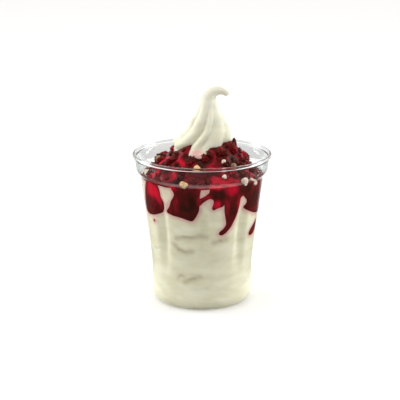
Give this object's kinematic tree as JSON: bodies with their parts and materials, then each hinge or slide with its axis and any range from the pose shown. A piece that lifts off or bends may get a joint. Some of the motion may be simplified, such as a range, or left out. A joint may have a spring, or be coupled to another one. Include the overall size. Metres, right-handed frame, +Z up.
{
  "type": "raspberry sundae in a clear cup",
  "caption": "Soft-serve sundae in a clear fluted cup: a curled piped peak stands out of a heap of crushed raspberries, whose sauce drips down inside the wall.",
  "frame": {"origin": "middle of the foot that the cup stands on", "axes": "+Z up along the cup's axis, -Y towards the viewer of the picture, +X towards the side that the peak curls over to"},
  "size_m": [0.092, 0.092, 0.1452],
  "materials": {
    "clear_plastic": "clear and glossy",
    "soft_serve": "smooth, moist and creamy",
    "raspberry_sauce": "wet and glossy"
  },
  "bodies": {
    "root": {"cup": "clear_plastic", "soft_serve": "soft_serve", "raspberry_topping": "raspberry_sauce"}
  },
  "joints": []
}
